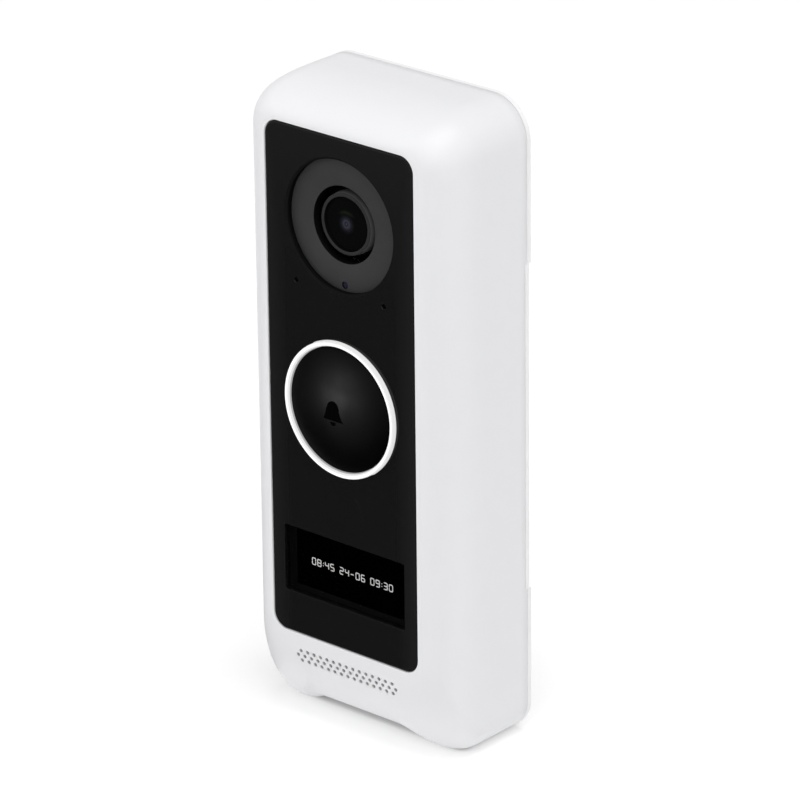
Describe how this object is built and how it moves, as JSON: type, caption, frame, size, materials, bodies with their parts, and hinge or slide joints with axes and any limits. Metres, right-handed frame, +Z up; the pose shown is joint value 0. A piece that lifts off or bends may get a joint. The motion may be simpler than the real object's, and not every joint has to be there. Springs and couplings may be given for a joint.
{
  "type": "video doorbell",
  "caption": "Wall-mounted video doorbell with a camera, a domed bell button in a light ring, a small display, a speaker and a lift-off wall plate.",
  "frame": {"origin": "under the middle of the case, on the plane its two feet stand on", "axes": "+Z up along the case, -Y out of the front panel towards the visitor, +Y towards the wall, +X to the right of a visitor facing the panel"},
  "size_m": [0.054, 0.0288, 0.136],
  "materials": {
    "white_case": "fine satin white",
    "white_cover": "fine texture white",
    "black_panel": "polished black, hard coated",
    "black_button": "polished black dome",
    "clear_window": "clear",
    "dark_window": "infrared-clear black film",
    "grey_ring": "satin dark grey",
    "black_barrel": "fine matt black",
    "lens_glass": "coated optical glass",
    "white_light": "translucent white light guide",
    "black_frame": "matt black",
    "display_glass": "dark display glass",
    "amber_film": "polyimide film",
    "green_board": "solder resist",
    "black_board": "black solder resist",
    "black_chip": "moulded epoxy",
    "sensor_face": "silicon under glass",
    "tin_can": "tinned sheet",
    "steel": "zinc plated",
    "brass": "bare",
    "aluminium": "anodised",
    "magnet_steel": "nickel plated",
    "rubber_black": "soft matt",
    "rubber_grey": "soft matt",
    "foam_black": "closed cell foam",
    "paper_cone": "treated film",
    "lamp_lens": "dark red epoxy",
    "yellow_lamp": "phosphor",
    "blue_sleeve": "shrink sleeve",
    "blue_filter": "interference filter",
    "terminal_grey": "glass filled",
    "grey_plate": "fine texture dark grey powder coat on steel",
    "reset_orange": "fine matt"
  },
  "bodies": {
    "case": {"front_housing": "white_case", "rear_cover": "white_cover", "housing_seal": "rubber_grey", "housing_screws": "steel", "front_panel": "black_panel", "panel_adhesive": "foam_black", "display_window": "clear_window", "display_frame": "black_frame", "display_panel": "display_glass", "display_flex": "amber_film", "pir_window": "dark_window", "pir_sensor": "tin_can", "microphones": "tin_can", "microphone_gaskets": "rubber_black", "lens_ring": "grey_ring", "light_sensor": "sensor_face", "lens_barrel": "black_barrel", "front_lens": "lens_glass", "lens_spacer": "black_barrel", "middle_lens": "lens_glass", "rear_lens": "lens_glass", "infrared_filter": "blue_filter", "lens_holder": "black_barrel", "image_sensor": "sensor_face", "sensor_board": "black_board", "infrared_board": "black_board", "infrared_lamps": "lamp_lens", "light_ring": "white_light", "ring_board": "green_board", "ring_lights": "yellow_lamp", "button_frame": "black_frame", "bell_switch": "black_chip", "button_board": "green_board", "speaker_basket": "black_frame", "speaker_cone": "paper_cone", "speaker_magnet": "magnet_steel", "speaker_gasket": "foam_black", "inner_chassis": "black_frame", "main_board": "green_board", "shield_can": "tin_can", "processor": "black_chip", "heat_spreader": "aluminium", "board_connectors": "terminal_grey", "power_board": "green_board", "storage_capacitor": "blue_sleeve", "antenna": "amber_film", "camera_flex": "amber_film", "terminal_block": "terminal_grey", "terminal_clamps": "brass", "service_port": "tin_can", "reset_switch": "black_chip"},
    "bell_button": {"button_cap": "black_button"},
    "bell_plunger": {"switch_plunger": "terminal_grey"},
    "reset": {"reset_button": "reset_orange"},
    "plug": {"port_plug": "rubber_black"},
    "wall_plate": {"mounting_plate": "grey_plate", "security_screw": "steel"},
    "left_screw": {"left_terminal_screw": "steel"},
    "right_screw": {"right_terminal_screw": "steel"}
  },
  "joints": [
    {"name": "bell_press", "type": "slide", "parent": "case", "child": "bell_button", "axis": [0, 1, 0], "range_m": [0, 0.0008], "stiffness_N_per_m": 2500, "springref_m": -0.0002},
    {"name": "plunger_press", "type": "slide", "parent": "case", "child": "bell_plunger", "axis": [0, 1, 0], "range_m": [0, 0.0008]},
    {"name": "reset_press", "type": "slide", "parent": "case", "child": "reset", "axis": [0, -1, 0], "range_m": [0, 0.0006], "stiffness_N_per_m": 1500},
    {"name": "plug_pull", "type": "slide", "parent": "case", "child": "plug", "axis": [0, 1, 0], "range_m": [0, 0.008]},
    {"name": "plate_lift_off", "type": "slide", "parent": "case", "child": "wall_plate", "axis": [0, 1, 0], "range_m": [0, 0.016]},
    {"name": "left_screw_turn", "type": "hinge", "parent": "case", "child": "left_screw", "pos_m": [-0.0055, 0.0136, 0.082], "axis": [0, 1, 0], "continuous": true},
    {"name": "right_screw_turn", "type": "hinge", "parent": "case", "child": "right_screw", "pos_m": [0.0055, 0.0136, 0.082], "axis": [0, 1, 0], "continuous": true}
  ],
  "couplings": [
    {"joint": "plunger_press", "follows": "bell_press", "ratio": 1}
  ]
}
